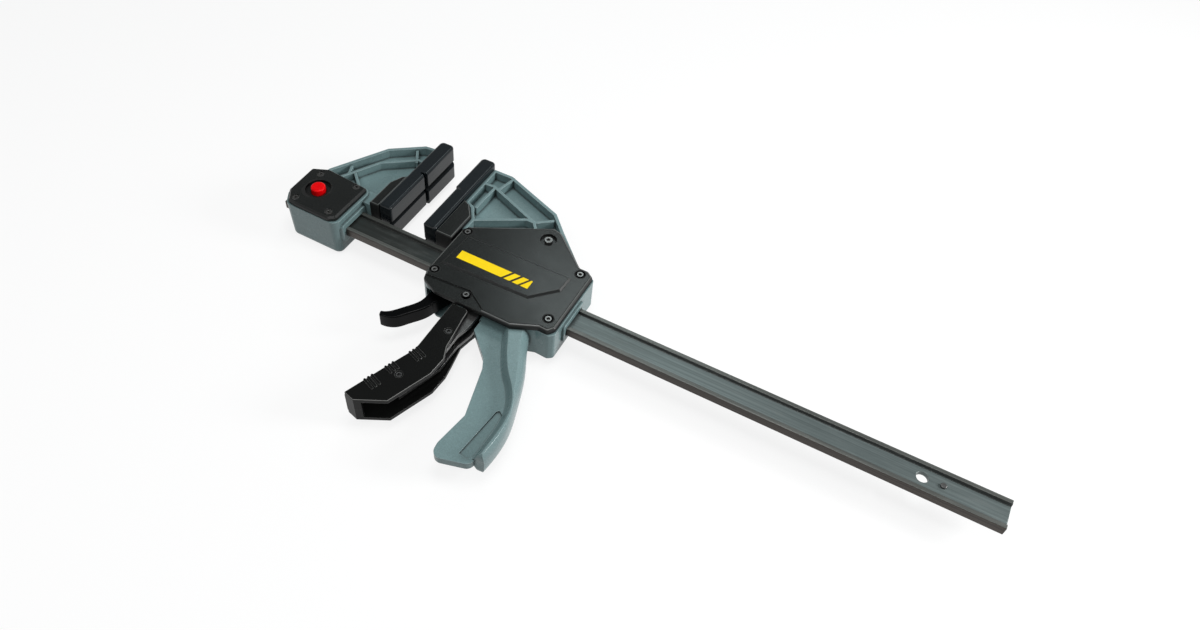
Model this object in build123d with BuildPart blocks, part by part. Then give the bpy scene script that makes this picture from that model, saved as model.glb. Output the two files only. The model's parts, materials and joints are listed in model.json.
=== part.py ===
from build123d import *
import os
from math import atan2, degrees, hypot

# Quick release bar clamp lying on its side, in millimetres.
# +X runs along the bar to its free end, +Y from the bar to the jaw tips, +Z up to the cover side.
# The origin is on the bar's axis, in the plane of the fixed jaw's clamping face.

# ---------------------------------------------------------------- driving dimensions
capacity = 300.0             # widest gap between the pads
opening = 31.0               # gap between the pads as the clamp lies
throat = 95.5                # from the bar's edge to the pad tips

bar_width = 23.0
bar_thick = 7.5
bar_web = 3.5
bar_flange = 3.2
bar_groove_slope = 1.0
bar_edge = 0.6
bar_overhang = 4.0           # bar end standing out of the fixed jaw
bar_tail = 40.0              # bar beyond the stop pin, for the fixed jaw when it goes on this end

slide_gap = 0.15             # between the bar and what slides or sits on it
pass_gap = 0.5               # more, where a wall only lets the bar through
fit_gap = 0.05               # radial, pins in turning parts
face_gap = 0.2               # between faces that move past each other

stop_pin_d = 4.0
stop_pin_short = 0.55        # each pin end below the flange

pad_thick = 12.0
pad_half_height = 17.0
pad_start = 3.2              # gap between the bar's edge and the pads
pad_slot_y = 63.5            # centre of the upright slot across the pads
pad_slot_width = 4.0
pad_slot_depth = 4.5
pad_groove_depth = 2.6
pad_groove_half = 3.2
pad_tip_step = 1.4           # tip half proud of the near half
pad_edge = 1.9
pad_corner = 4.0

carrier_half_height = 15.0
carrier_knee_y = 43.0
carrier_end_y = 57.0
carrier_edge = 1.5
fixed_carrier_depth = 9.0
moving_carrier_depth = 15.0

arm_half_height = 11.5
arm_web = 7.0
arm_rim = 2.6
arm_rib = 2.2
fixed_arm_drop = 8.0         # from the pad tips to the arms' ends
moving_arm_drop = 4.5

fixed_half_height = 18.0
fixed_depth = 21.5
fixed_draft = 2.0
fixed_cover_thick = 4.0
fixed_left = -85.0
fixed_right = -26.0
fixed_below = 9.0            # body past the bar's lower edge
fixed_above = 15.3           # and past its upper edge
fixed_corner = 7.0
fixed_edge = 4.0
fixed_cover_corner = 2.6
socket_boss = 2.0            # collar round the bar socket
collar_half = 8.5
collar_wall = 4.0
collar_corner = 3.0
rear_collar_proud = 1.8
collar_root = 2.5            # start of the collar and arm inside the body's face
arm_root = 13.0

button_x = -63.6
button_y = 3.5
button_d = 12.0
button_proud = 2.5
button_flange_d = 15.0
button_flange = 1.0
button_stem_d = 5.0
button_clear = 0.3
button_dish_d = 21.5
button_dish = 2.8
shelf_low = 8.6
shelf_thick = 1.2

rocker_thick = 2.4
rocker_z = 6.0
rocker_width = 7.0
rocker_y = 1.75
rocker_arm = 18.0            # pin to tooth
rocker_pin_x = -54.0
rocker_pin_d = 3.0
rocker_pin_hold = 4.0        # pin length held on each side
rocker_hub = 0.9             # wall round the pin, past the rocker's faces
tooth_d = 6.8
tooth_depth = 1.6            # into the bar's web
lock_hole_d = 8.0

screw_head_d = 5.6
screw_head = 2.6
screw_shank_d = 3.2
screw_length = 12.0
screw_socket_d = 3.0
screw_socket = 1.6
screw_clear = 0.4
screw_well = 1.9             # width of the counterbore past the head
bolt_head_d = 6.2
bolt_shank_d = 4.0
bolt_length = 16.0
bolt_socket_d = 3.4
bolt_bore_d = 13.0
bolt_seat = 2.4              # below the cover's face
bolt_thread_play = 2.0       # hole left below the bolt's end
cover_screw_thread = 3.0     # length held by the body

housing_half_height = 15.5
housing_cover_thick = 4.0
housing_start = 29.0         # from the moving pad's face to the housing's front
housing_length = 112.5
housing_floor = 3.0
housing_wall = 4.0
housing_low = -36.0
housing_high = 38.0
housing_edge = 1.6
body_round = 3.0
cover_edge = 2.4
fixed_cover_edge = 1.5
cover_drop = 2.0
cover_short = 1.2
cover_corner = 2.6
cavity_high = 30.0
cavity_low = -26.0
rear_cavity_low = -21.0
exit_front = 6.0             # lever and trigger opening, from the housing's front
exit_rear = 78.0
exit_step = 55.0             # up to here it is open to the cover side too
exit_room = 8.0              # cut past the housing's lower edge
bridge_low = -33.5
bridge_half = 8.0
seat_back = 20.5             # rear face to the spring seat wall
seat_wall = 3.0
panel_raise = 1.6
panel_edge = 1.4
step_drop = 1.2

guide_thick = 4.0
guide_half_y = 14.0
guide_key_y = 6.0

handle_web = 6.0
handle_corner = 6.0
spine_half = 11.0
spine_lean = 6.0             # how far the spine's front leans out to the web
spine_roll = 0.7             # rounding of its two crests
crest_start = 0.8            # share of the half thickness where they begin
spine_end_round = 2.6        # how much shorter the spine's end is at its faces
pocket_depth = 1.2

pivot_x = 52.0               # trigger pin, from the housing's front
pivot_y = 24.0
pivot_d = 6.0
arm_lobe_r = 6.0
nose_drop = 30.0             # pin to the nose that pushes the plates
nose_r = 5.0
trigger_half = 12.0
trigger_plate = 3.2
trigger_flare = 7.5
trigger_cheek = 3.0          # steel arms
trigger_cheek_in = 4.2
trigger_front_wall = 3.5
trigger_boss_in = 3.6        # bosses stay clear of the handle's web
trigger_top_gap = 0.9        # under the cover's lower edge
trigger_top_y = housing_low - cover_drop - trigger_top_gap
trigger_top_corner = 1.8     # cut off its rear corner, which rises as the trigger closes
trigger_edge = 0.7
trigger_corner = 0.8
trigger_screw_d = 3.0
trigger_screw_head = 1.7
trigger_screw_recess = 2.0
trigger_screw_socket = 1.2
trigger_screw_end = 1.5      # shank end inside the back face
trigger_boss_d = 8.0
ridge_groups = (-2.9, 17.4, 34.6)
ridge_lengths = (9.0, 6.0, 9.0)
ridge_pitch = 3.0
ridge_width = 1.9
ridge_inset = 0.5
ridge_proud = 0.6

plate_thick = 3.0
plate_gap = 0.1
plate_half_z = 10.0
plate_low = -22.0
plate_high = 16.0
plate_count = 3

brake_pin_x = 21.0           # from the housing's front
brake_pin_y = 22.0
brake_pin_d = 5.0
brake_plate_thick = 3.4
brake_half_z = 7.5
brake_slot = 0.8
brake_seat_x = 31.2          # seat of the brake spring, from the housing's front
brake_seat_wall = 3.0
brake_low = -22.0
brake_high = 17.0
fork_half = 5.0
fork_thick = 2.6
fork_bridge = 2.6
lever_half = 6.3
lever_edge = 1.0

spring_d = 8.0
spring_wire = 1.0
spring_y = -17.5
brake_spring_d = 7.0
brake_spring_wire = 0.9
button_spring_d = 10.0
button_spring_wire = 0.5

label_thick = 0.5
label_sunk = 0.3

# ---------------------------------------------------------------- worked out from them
bar_y = bar_width / 2
bar_z = bar_thick / 2
web_z = bar_web / 2
bar_front = fixed_left - bar_overhang
fixed_low = -bar_y - fixed_below
fixed_high = bar_y + fixed_above
socket_y = bar_y + slide_gap
socket_z = bar_z + slide_gap
pass_y = socket_y + pass_gap
pass_z = socket_z + pass_gap
tip_y = bar_y + throat
near_y = bar_y + pad_start
fixed_cover_low = fixed_half_height - fixed_cover_thick
front = opening + housing_start
rear = front + housing_length
cover_low = housing_half_height - housing_cover_thick
cavity_floor = housing_floor - housing_half_height
pin_x = rear - housing_wall - opening + capacity + stop_pin_d / 2 + face_gap
bar_rear = pin_x + bar_tail
tooth_x = rocker_pin_x + rocker_arm
lock_hole_rear = bar_rear - (tooth_x - bar_front)
seat = rear - seat_back
pivot = (front + pivot_x, pivot_y)
brake_pin = (front + brake_pin_x, brake_pin_y)
nose = (pivot[0], pivot_y - nose_drop)
plates_x = nose[0] + nose_r + face_gap
cover_top = housing_half_height
fixed_top = fixed_half_height


# ---------------------------------------------------------------- building blocks
def slab(points, bottom, top, radius=0.0, mode=Mode.ADD):
    """A straight-sided block with this outline between two heights."""
    with BuildSketch(Plane.XY.offset(bottom)) as outline:
        with BuildLine():
            Polyline(*points, close=True)
        make_face()
        if radius > 0:
            fillet(outline.vertices(), radius)
    extrude(outline.sketch, amount=top - bottom, mode=mode)


def ribs(points, width, bottom, top):
    """A round-ended wall of even width along a line of points."""
    for start, end in zip(points, points[1:]):
        run = (end[0] - start[0], end[1] - start[1])
        middle = ((start[0] + end[0]) / 2, (start[1] + end[1]) / 2)
        with BuildSketch(Plane.XY.offset(bottom)) as wall:
            with Locations(middle):
                SlotCenterToCenter(hypot(*run), width, rotation=degrees(atan2(run[1], run[0])))
        extrude(wall.sketch, amount=top - bottom)


def disc(centre, diameter, bottom, top, mode=Mode.ADD):
    """An upright cylinder."""
    with BuildSketch(Plane.XY.offset(bottom)) as circle:
        with Locations(centre):
            Circle(diameter / 2)
    extrude(circle.sketch, amount=top - bottom, mode=mode)


def block(x_range, y_range, z_range, mode=Mode.ADD):
    """A box given by its lowest and highest coordinates."""
    low = (x_range[0], y_range[0], z_range[0])
    size = (x_range[1] - x_range[0], y_range[1] - y_range[0], z_range[1] - z_range[0])
    with Locations(low):
        Box(*size, align=(Align.MIN, Align.MIN, Align.MIN), mode=mode)


def at_front(points):
    """Points given from the housing's front face."""
    return [(front + x, y) for x, y in points]


def edges_at(part, height):
    """The edges that lie flat at one height."""
    return part.edges().filter_by(lambda e: abs(e.bounding_box().min.Z - height) < 1e-4
                                  and abs(e.bounding_box().max.Z - height) < 1e-4)


def finish(builder, name):
    """Labels a finished piece and writes its file."""
    builder.part.label = name
    export_step(builder.part, f"parts/{name}.step")


# ---------------------------------------------------------------- outlines shared by pieces
def fixed_cover_outline():
    return [
        (fixed_left + 1, -8), (fixed_left + 8, fixed_low + 2), (fixed_left + 15, fixed_low + 0.8),
        (fixed_right - 10, fixed_low + 0.5), (fixed_right - 4.8, fixed_low + 4.5),
        (fixed_right - 4.2, fixed_high - 2.4), (fixed_left + 14, fixed_high + 0.8),
        (fixed_left + 0.6, fixed_high - 5.4),
    ]


def fixed_body_outline():
    return [
        (fixed_left, -9), (fixed_left + 7, fixed_low), (fixed_right - socket_boss, fixed_low),
        (fixed_right - socket_boss, fixed_high), (fixed_left + 13, fixed_high + 1),
        (fixed_left, fixed_high - 6),
    ]


def housing_upper(end):
    """Upper side of the housing from its rear end forwards, then down its front."""
    return [
        (end, housing_high - 4), (housing_length - 7, housing_high),
        (housing_length - 14, housing_high), (housing_length - 43, 63), (housing_length - 51, 65),
        (3, 32), (0, 27.5), (0, -22), (3, -31), (17, housing_low - 2),
    ]


def body_outline():
    return at_front(housing_upper(housing_length) + [
        (57, housing_low), (housing_length - 33, housing_low), (housing_length - 14, housing_low + 6.5),
        (housing_length - 4, housing_low + 6), (housing_length, housing_low + 9),
    ])


def cover_outline():
    """The cover hangs lower than the body and stops just short of its rear face."""
    low = housing_low - cover_drop
    end = housing_length - cover_short
    return at_front(housing_upper(end) + [
        (57, low), (housing_length - 31, low), (housing_length - 12, low + 9), (end - 3.5, low + 8.7),
        (end, low + 14),
    ])


def carrier_outline(face, depth, side):
    """Black block behind a pad; side is -1 for the fixed jaw and +1 for the moving one."""
    back = face + side * depth
    return [
        (face, near_y), (back, near_y), (back, carrier_knee_y),
        (face + side * 0.45 * depth, carrier_end_y - 3), (face, carrier_end_y),
    ]


def screw_points_fixed():
    return [
        (fixed_left + 11.8, fixed_low + 6.8), (fixed_left + 11.7, fixed_high - 8),
        (fixed_right - 13.8, fixed_low + 7), (fixed_right - 12.6, fixed_high - 5.5),
    ]


def screw_points_cover():
    return at_front([
        (5.5, 26.5), (5.5, -20), (39.5, -29.3),
        (housing_length - 10, -18.5), (housing_length - 10.5, housing_high - 6.5),
    ])


bolt_point = (rear - 48.5, 51)


# ---------------------------------------------------------------- bar
def build_bar():
    with BuildPart() as bar:
        with BuildSketch(Plane.YZ.offset(bar_front)) as section:
            Rectangle(bar_width, bar_thick)
            fillet(section.vertices(), bar_edge)
            for side in (1, -1):
                top = side * bar_z
                floor = side * web_z
                edge = bar_y - bar_flange
                with BuildLine():
                    Polyline((edge, top + side), (edge, top), (edge - bar_groove_slope, floor),
                             (bar_groove_slope - edge, floor), (-edge, top), (-edge, top + side),
                             close=True)
                make_face(mode=Mode.SUBTRACT)
        extrude(amount=bar_rear - bar_front)
        for x in (tooth_x, lock_hole_rear):
            disc((x, 0), lock_hole_d, -bar_z, bar_z, mode=Mode.SUBTRACT)
        disc((pin_x, 0), stop_pin_d, -bar_z, bar_z, mode=Mode.SUBTRACT)
    finish(bar, "bar")


def build_stop_pin():
    half = bar_z - stop_pin_short
    with BuildPart() as pin:
        disc((pin_x, 0), stop_pin_d, -half, half)
        chamfer(pin.edges().filter_by(GeomType.CIRCLE), 0.3)
    finish(pin, "stop_pin")


# ---------------------------------------------------------------- fixed jaw
def fixed_arm_outer():
    return [(fixed_left + 9, fixed_high), (fixed_left + 9.5, 32.5), (-48.5, 79),
            (-23, tip_y - 9), (-pad_thick - arm_rim, tip_y - fixed_arm_drop)]


def build_fixed_jaw_body():
    back = -pad_thick - fixed_carrier_depth
    knee = -pad_thick - 0.45 * fixed_carrier_depth
    outer = fixed_arm_outer()
    boundary = outer + [(-pad_thick, tip_y - fixed_arm_drop), (-pad_thick, carrier_end_y),
                        (knee, carrier_end_y - 3), (back, carrier_knee_y), (back, near_y),
                        (fixed_right - socket_boss, near_y)]
    with BuildPart() as body:
        with BuildSketch(Plane.XY.offset(fixed_cover_low)) as outline:
            with BuildLine():
                Polyline(*fixed_body_outline(), close=True)
            make_face()
            fillet(outline.vertices(), fixed_corner)
        extrude(outline.sketch, amount=-fixed_cover_low - fixed_depth, taper=fixed_draft)
        fillet(edges_at(body, -fixed_depth), fixed_edge)
        slab(boundary + [(fixed_left + 9, 0)], -arm_web / 2, arm_web / 2)
        inner = [(-pad_thick - arm_rim / 2, tip_y - fixed_arm_drop),
                 (-pad_thick - arm_rim / 2, carrier_end_y),
                 (knee - arm_rim / 2, carrier_end_y - 2), (back - arm_rim / 2, carrier_knee_y),
                 (back - arm_rim / 2, near_y + arm_rim)]
        ribs(outer, arm_rim, -arm_half_height, arm_half_height)
        ribs([outer[-1]] + inner[:1], arm_rim, -arm_half_height, arm_half_height)
        ribs(inner, arm_rim, -arm_half_height, arm_half_height)
        ribs([(fixed_left + 20, fixed_high), (-45, 62), (-19, 81.5), (-pad_thick - 2, 81.5)],
             arm_rib, -arm_half_height + 0.6, arm_half_height - 0.6)
        ribs([(-60, 38), (-63, 46)], arm_rib, -arm_half_height + 1, arm_half_height - 1)
        ribs([(-19.5, 79), (-27, 91)], arm_rib, -arm_half_height + 1, arm_half_height - 1)
        ribs([(-57, 42), (-40, fixed_high)], arm_rib, -arm_half_height + 1, arm_half_height - 1)
        block((fixed_right - socket_boss - collar_root, back), (near_y, near_y + arm_root),
              (-arm_half_height, arm_half_height))
        socket_collar()
        slab(carrier_outline(-pad_thick, fixed_carrier_depth, -1), -carrier_half_height,
             carrier_half_height, mode=Mode.SUBTRACT)
        block((-pad_thick, 0), (near_y, tip_y), (-carrier_half_height, carrier_half_height),
              mode=Mode.SUBTRACT)
        block((fixed_left - 1, fixed_right + 1), (-socket_y, socket_y), (-socket_z, socket_z),
              mode=Mode.SUBTRACT)
        lock_cavity(socket_z)
        for point in screw_points_fixed():
            disc(point, screw_shank_d + 2 * fit_gap, fixed_cover_low - screw_length,
                 fixed_cover_low, mode=Mode.SUBTRACT)
    finish(body, "fixed_jaw_body")


def socket_collar():
    """Rounded collar that stands proud round the bar socket."""
    start = fixed_right - socket_boss - collar_root
    with BuildSketch(Plane.YZ.offset(start)) as ring:
        Rectangle(2 * (bar_y + collar_wall), 2 * collar_half)
        fillet(ring.vertices(), collar_corner)
    extrude(ring.sketch, amount=fixed_right - start)


def lock_cavity(bottom):
    """Room over the bar for the rocker, and the button's well above its shelf."""
    low = -tooth_d / 2 - 1
    high = rocker_y + rocker_width / 2 + 1
    block((button_x - 8, rocker_pin_x + 4), (low, high), (0, shelf_low), mode=Mode.SUBTRACT)
    block((rocker_pin_x - 1, tooth_x + tooth_d / 2 + 2), (low, high), (0, fixed_cover_low - 1),
          mode=Mode.SUBTRACT)
    disc((button_x, button_y), button_flange_d + 2 * button_clear, shelf_low + shelf_thick,
         fixed_cover_low, mode=Mode.SUBTRACT)
    disc((button_x, button_y), button_stem_d + 2 * button_clear, bottom, fixed_cover_low,
         mode=Mode.SUBTRACT)
    with BuildSketch(Plane.XZ.offset(-high - rocker_pin_hold)) as bore:
        with Locations((rocker_pin_x, rocker_z)):
            Circle(rocker_pin_d / 2)
    extrude(bore.sketch, amount=high - low + 2 * rocker_pin_hold, mode=Mode.SUBTRACT)


def build_fixed_jaw_cover():
    with BuildPart() as cover:
        slab(fixed_cover_outline(), fixed_cover_low, fixed_top, fixed_cover_corner)
        chamfer(edges_at(cover, fixed_top), fixed_cover_edge)
        disc((button_x, button_y), button_dish_d, fixed_top - button_dish, fixed_top,
             mode=Mode.SUBTRACT)
        disc((button_x, button_y), button_d + 2 * button_clear, fixed_cover_low, fixed_top,
             mode=Mode.SUBTRACT)
        for point in screw_points_fixed():
            disc(point, screw_head_d + 2 * screw_clear, fixed_top - screw_head - screw_clear,
                 fixed_top, mode=Mode.SUBTRACT)
            disc(point, screw_shank_d + 2 * fit_gap, fixed_cover_low, fixed_top,
                 mode=Mode.SUBTRACT)
    finish(cover, "fixed_jaw_cover")


def socket_screw(point, seat, head_d, head, shank_d, length, socket_d, socket):
    """Cylinder-head screw standing on its seat, hexagon socket up."""
    disc(point, head_d, seat, seat + head)
    disc(point, shank_d, seat - length, seat)
    with BuildSketch(Plane.XY.offset(seat + head - socket)) as key:
        with Locations(point):
            RegularPolygon(socket_d / 2, 6)
    extrude(key.sketch, amount=socket, mode=Mode.SUBTRACT)


def build_fixed_cover_screws():
    seat = fixed_top - screw_head - screw_clear
    with BuildPart() as screws:
        for point in screw_points_fixed():
            socket_screw(point, seat, screw_head_d, screw_head, screw_shank_d,
                         screw_length - screw_clear, screw_socket_d, screw_socket)
    finish(screws, "fixed_cover_screws")


def build_carrier(name, face, depth, side):
    with BuildPart() as carrier:
        slab(carrier_outline(face, depth, side), -carrier_half_height, carrier_half_height)
        fillet(edges_at(carrier, carrier_half_height), carrier_edge)
        fillet(edges_at(carrier, -carrier_half_height), carrier_edge)
    finish(carrier, name)


def build_pad(name, face, side):
    """Soft jaw pad; side is +1 where the clamping face looks along +X."""
    back = face - side * pad_thick
    tip_face = face + side * pad_tip_step
    with BuildPart() as pad:
        slab([(back, near_y), (face, near_y), (face, pad_slot_y), (tip_face, pad_slot_y),
              (tip_face, tip_y), (back, tip_y)], -pad_half_height, pad_half_height)
        upright = pad.edges().filter_by(Axis.Z)
        fillet(upright.group_by(Axis.Y)[-1], pad_corner)
        fillet(pad.edges().filter_by(Axis.Z).group_by(Axis.Y)[0], pad_corner / 2)
        fillet(edges_at(pad, pad_half_height), pad_edge)
        fillet(edges_at(pad, -pad_half_height), pad_edge)
        with BuildSketch(Plane.XY.offset(-pad_half_height)) as notch:
            with BuildLine():
                Polyline((tip_face + side, pad_slot_y - pad_slot_width / 2),
                         (face - side * pad_slot_depth, pad_slot_y - 0.6),
                         (face - side * pad_slot_depth, pad_slot_y + 0.6),
                         (tip_face + side, pad_slot_y + pad_slot_width / 2), close=True)
            make_face()
        extrude(notch.sketch, amount=2 * pad_half_height, mode=Mode.SUBTRACT)
        with BuildSketch(Plane.XZ.offset(-tip_y - 1)) as groove:
            with BuildLine():
                Polyline((tip_face + side * 0.1, pad_groove_half),
                         (tip_face + side * 0.1, -pad_groove_half),
                         (face - side * pad_groove_depth, -0.6), (face - side * pad_groove_depth, 0.6),
                         close=True)
            make_face()
        extrude(groove.sketch, amount=tip_y - near_y + 2, mode=Mode.SUBTRACT)
    finish(pad, name)


# ---------------------------------------------------------------- bar lock
def build_release_button():
    centre = (button_x, button_y)
    flange_top = fixed_cover_low - face_gap
    rocker_top = rocker_z + rocker_thick / 2
    top = fixed_top + button_proud
    with BuildPart() as button:
        disc(centre, button_d, flange_top - button_flange, top)
        fillet(edges_at(button, top), 1.4)
        disc(centre, button_flange_d, flange_top - button_flange, flange_top)
        disc(centre, button_stem_d, rocker_top + face_gap + button_stem_d / 2, flange_top)
        with Locations((*centre, rocker_top + face_gap + button_stem_d / 2)):
            Sphere(button_stem_d / 2)
    finish(button, "release_button")


def build_button_spring():
    low = shelf_low + shelf_thick + button_spring_wire / 2
    high = fixed_cover_low - face_gap - button_flange - button_spring_wire / 2
    coil((button_x, button_y, low), (0, 0, 1), high - low, 2, button_spring_d, button_spring_wire,
         "button_spring")


def coil(start, direction, length, turns, diameter, wire, name):
    """A round-wire compression spring between its two seats."""
    radius = (diameter - wire) / 2
    with BuildPart() as spring:
        with BuildLine():
            path = Helix(length / turns, length, radius, center=start, direction=direction)
        with BuildSketch(Plane(path @ 0, z_dir=path % 0)):
            Circle(wire / 2)
        sweep(path=path)
    finish(spring, name)


def build_lock_rocker():
    back = button_x - button_stem_d / 2 - 1
    half = rocker_thick / 2
    with BuildPart() as rocker:
        block((back, tooth_x), (rocker_y - rocker_width / 2, rocker_y + rocker_width / 2),
              (rocker_z - half, rocker_z + half))
        disc((tooth_x, 0), tooth_d, web_z - tooth_depth, rocker_z + half)
        with BuildSketch(Plane.XZ.offset(-rocker_y - rocker_width / 2)) as hub:
            with Locations((rocker_pin_x, rocker_z)):
                Circle(rocker_pin_d / 2 + rocker_hub)
        extrude(hub.sketch, amount=rocker_width)
        with BuildSketch(Plane.XZ.offset(-rocker_y - rocker_width)) as bore:
            with Locations((rocker_pin_x, rocker_z)):
                Circle(rocker_pin_d / 2 + fit_gap)
        extrude(bore.sketch, amount=2 * rocker_width, mode=Mode.SUBTRACT)
    finish(rocker, "lock_rocker")


def build_rocker_pin():
    half = rocker_width / 2 + rocker_pin_hold
    with BuildPart() as pin:
        with BuildSketch(Plane.XZ.offset(-rocker_y - half)) as circle:
            with Locations((rocker_pin_x, rocker_z)):
                Circle(rocker_pin_d / 2)
        extrude(circle.sketch, amount=2 * half)
    finish(pin, "rocker_pin")


# ---------------------------------------------------------------- moving jaw
def moving_arm_outer():
    face = opening + pad_thick
    end_y = tip_y - moving_arm_drop
    return [(face + arm_rim / 2, end_y), (front + 0.5, end_y), (rear - 59.5, 82),
            (rear - 44.5, 66.5), (rear - 14 - arm_rim / 2, housing_high)]


def build_housing_body():
    face = opening + pad_thick
    back = face + moving_carrier_depth
    knee = face + 0.45 * moving_carrier_depth
    outer = moving_arm_outer()
    height = (-arm_half_height, cover_low)
    with BuildPart() as body:
        slab(body_outline(), -housing_half_height, cover_low, body_round)
        fillet(edges_at(body, -housing_half_height), housing_edge)
        slab([(face, carrier_end_y), (face, tip_y - moving_arm_drop)] + outer[1:]
             + [(rear - 20, 0), (front + 3, 0), (back, carrier_knee_y), (knee, carrier_end_y - 3)],
             -arm_web / 2, arm_web / 2)
        ribs(outer, arm_rim, *height)
        ribs([outer[0], (face + arm_rim / 2, carrier_end_y + 1), (knee + arm_rim / 2, carrier_end_y - 1.5),
              (back + arm_rim / 2, carrier_knee_y + 0.6), (back + arm_rim / 2, near_y + 16)],
             arm_rim, *height)
        ribs([(face + arm_rim / 2, tip_y - 22), (front - 6, tip_y - 21.5), (rear - 69.5, 65.5),
              (rear - 63.5, 58)], arm_rib, *height)
        ribs([(front - 1, tip_y - 22), (front + 3, tip_y - 5)], arm_rib, *height)
        ribs([(back - 4, carrier_end_y), (front - 5, tip_y - 22)], arm_rib, *height)
        ribs([(back + arm_rim / 2, 43), (rear - 76.5, 65.5), (rear - 69.5, 65.5)], arm_rib, *height)
        ribs([(rear - 68.5, 66), (rear - 57.5, 75)], arm_rib, *height)
        slab(carrier_outline(face, moving_carrier_depth, 1), -carrier_half_height,
             carrier_half_height, mode=Mode.SUBTRACT)
        block((opening, face), (near_y, tip_y), (-carrier_half_height, carrier_half_height),
              mode=Mode.SUBTRACT)
        handle()
        rear_collar()
        housing_cavity()
        housing_holes()
        for x in (front - 1, rear - housing_wall - 1):
            block((x, x + housing_wall + rear_collar_proud + 2), (-pass_y, pass_y), (-pass_z, pass_z),
                  mode=Mode.SUBTRACT)
    finish(body, "housing_body")


def rear_collar():
    """Rounded collar round the bar on the housing's rear face."""
    with BuildSketch(Plane.YZ.offset(rear - 1)) as ring:
        Rectangle(2 * (bar_y + collar_wall), 2 * collar_half)
        fillet(ring.vertices(), collar_corner)
    extrude(ring.sketch, amount=1 + rear_collar_proud)


def handle_web_outline():
    return at_front([
        (40, -20), (56.6, -36), (56.6, -46), (76, -64.5), (80.5, -73), (91, -112), (87, -139),
        (88.3, -150.5), (114.5, -142.5), (118, -100), (108, -73), (92, -34), (80, -20),
    ])


def crest_front():
    return [(73, -25), (82, -41), (100, -71), (107.5, -79.5), (112, -86), (116.5, -96.5), (118.5, -111),
            (118, -138)]


def crest_back():
    return [(119.8, -138), (120.7, -124), (120.7, -110), (118.2, -96), (111.5, -81), (102, -60), (93, -41),
            (88, -25)]


def spine_back():
    return [(121.6, -137), (123.2, -121.5), (122.4, -109), (119.4, -95), (115.3, -81), (107.8, -60),
            (98.5, -41), (93, -25)]


def handle():
    """Fixed handle: a flat web that the trigger closes over and a thick rounded spine for the palm."""
    half = handle_web / 2
    with BuildSketch(Plane.XY.offset(-half)) as web:
        with BuildLine():
            Polyline(*handle_web_outline(), close=True)
        make_face()
        end = web.vertices().sort_by(Axis.Y)
        fillet(end[:3], handle_corner)
    extrude(web.sketch, amount=handle_web)
    with BuildPart(mode=Mode.PRIVATE) as spine:
        loft([spine_section(share) for share in spine_levels()])
    add(spine.part)
    for low in (half - pocket_depth, -half):
        slab(pocket_outline(), low, low + pocket_depth, mode=Mode.SUBTRACT)


def spine_levels():
    """Heights of the spine's sections as shares of its half thickness."""
    upper = (0.0, 0.45, crest_start, 0.95, 1.0)
    return [-share for share in reversed(upper[1:])] + list(upper)


def spine_section(share):
    """One level of the spine: its front leans out to the web and its back bulges."""
    height = abs(share)
    crest = max(0, height - crest_start) / (1 - crest_start)
    lean = spine_lean * (1 - height) - spine_roll * crest
    fall = height ** 3
    shorter = spine_end_round * height ** 6
    front_points = [(x - lean, y) for x, y in crest_front()]
    front_points[-1] = (front_points[-1][0], front_points[-1][1] + shorter)
    back_points = [(a + (b - a) * fall, c + (d - c) * fall)
                   for (a, c), (b, d) in zip(spine_back(), crest_back())]
    back_points[0] = (back_points[0][0], back_points[0][1] + shorter)
    with BuildSketch(Plane.XY.offset(share * spine_half)) as level:
        with BuildLine():
            face = Spline(*at_front(front_points))
            palm = Spline(*at_front(back_points))
            Line(face @ 1, palm @ 0)
            Line(palm @ 1, face @ 0)
        make_face()
    return level.sketch


def pocket_outline():
    return at_front([(103.5, -138.7), (107.7, -98.5), (109.3, -97), (112.5, -99), (113.5, -111),
                     (113, -136), (110, -139.5)])


def housing_cavity():
    """Room for the works, open at the top under the cover and at the bottom for the levers."""
    low, high = cavity_floor, cover_low + 1
    left = front + housing_wall
    right = rear - housing_wall
    block((left, seat), (cavity_low, cavity_high), (low, high), mode=Mode.SUBTRACT)
    block((seat + seat_wall, right), (rear_cavity_low, cavity_low + 44), (low, high), mode=Mode.SUBTRACT)
    block((seat - 1, seat + seat_wall + 1), (-pass_y, pass_y), (-pass_z, pass_z),
          mode=Mode.SUBTRACT)
    block((front + exit_front, front + exit_rear), (housing_low - exit_room, cavity_low + 1),
          (low, -handle_web / 2), mode=Mode.SUBTRACT)
    block((front + exit_front, front + exit_rear), (bridge_low, cavity_low + 1),
          (handle_web / 2, bridge_half), mode=Mode.SUBTRACT)
    block((front + exit_front, front + exit_rear), (housing_low - exit_room, bridge_low),
          (handle_web / 2, high), mode=Mode.SUBTRACT)
    block((front + exit_front, front + exit_step), (housing_low - exit_room, cavity_low + 1),
          (low, bridge_half), mode=Mode.SUBTRACT)
    block((front + exit_front, front + exit_step), (housing_low - exit_room, bridge_low),
          (low, high), mode=Mode.SUBTRACT)
    block((front + brake_seat_x, front + brake_seat_x + brake_seat_wall), (spring_y - 6, spring_y + 4),
          (low, 4))


def housing_holes():
    """Screw holes and the blind seats of the two pins."""
    for point in screw_points_cover():
        over_exit = point[1] < 0 and point[0] < pivot[0]
        disc(point, screw_head_d + 2, bridge_half if over_exit else cavity_floor, cover_low)
    for point in screw_points_cover():
        disc(point, screw_shank_d + 2 * fit_gap, cover_low - cover_screw_thread, cover_low,
             mode=Mode.SUBTRACT)
    disc(bolt_point, bolt_shank_d + 2 * fit_gap, cover_low - bolt_length + bolt_thread_play, cover_low,
         mode=Mode.SUBTRACT)
    disc(pivot, pivot_d, cavity_floor - 2, cover_low, mode=Mode.SUBTRACT)
    disc(brake_pin, brake_pin_d, cavity_floor - 2, cover_low, mode=Mode.SUBTRACT)


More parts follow.
